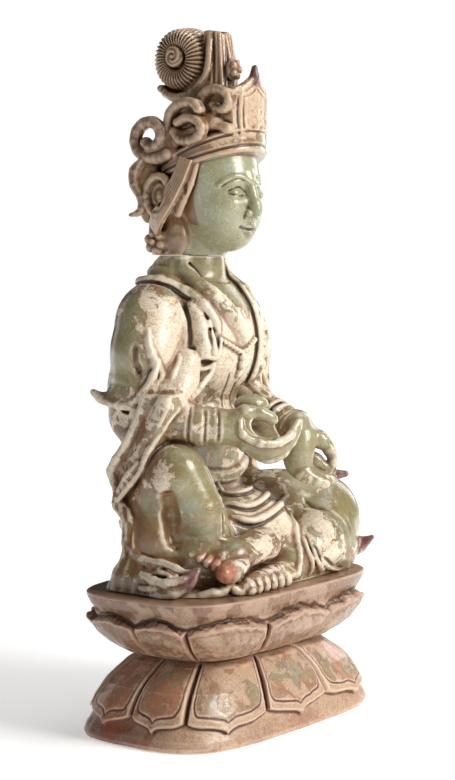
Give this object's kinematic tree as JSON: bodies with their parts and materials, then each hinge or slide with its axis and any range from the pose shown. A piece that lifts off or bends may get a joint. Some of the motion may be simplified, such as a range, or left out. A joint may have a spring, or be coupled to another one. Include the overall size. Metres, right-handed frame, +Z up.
{
  "type": "seated jade figurine",
  "caption": "Crowned figure seated in a relaxed pose on a double lotus pedestal, carved as stacked stone blocks that lift apart on hidden dowels.",
  "frame": {"origin": "centre of the pedestal's flat underside, where the figurine rests on a shelf or table", "axes": "+Z up along the figure's height, the figure faces -Y, +X is the figure's own left side"},
  "size_m": [0.2632, 0.1576, 0.56],
  "materials": {
    "jade_head": "gloss",
    "jade_figure": "gloss",
    "jade_throne": "gloss",
    "jade_base": "gloss",
    "dowel_wood": "matte"
  },
  "bodies": {
    "base": {"lotus_base": "jade_base", "base_dowel": "dowel_wood"},
    "throne": {"lotus_throne": "jade_throne", "seat_dowels": "dowel_wood"},
    "figure": {"seated_figure": "jade_figure", "neck_dowel": "dowel_wood"},
    "head": {"crowned_head": "jade_head"}
  },
  "joints": [
    {"name": "throne_lift", "type": "slide", "parent": "base", "child": "throne", "axis": [0, 0, 1], "range_m": [0, 0.05]},
    {"name": "figure_lift", "type": "slide", "parent": "throne", "child": "figure", "axis": [0, 0, 1], "range_m": [0, 0.05]},
    {"name": "head_lift", "type": "slide", "parent": "figure", "child": "head", "axis": [0, 0, 1], "range_m": [0, 0.05]}
  ]
}
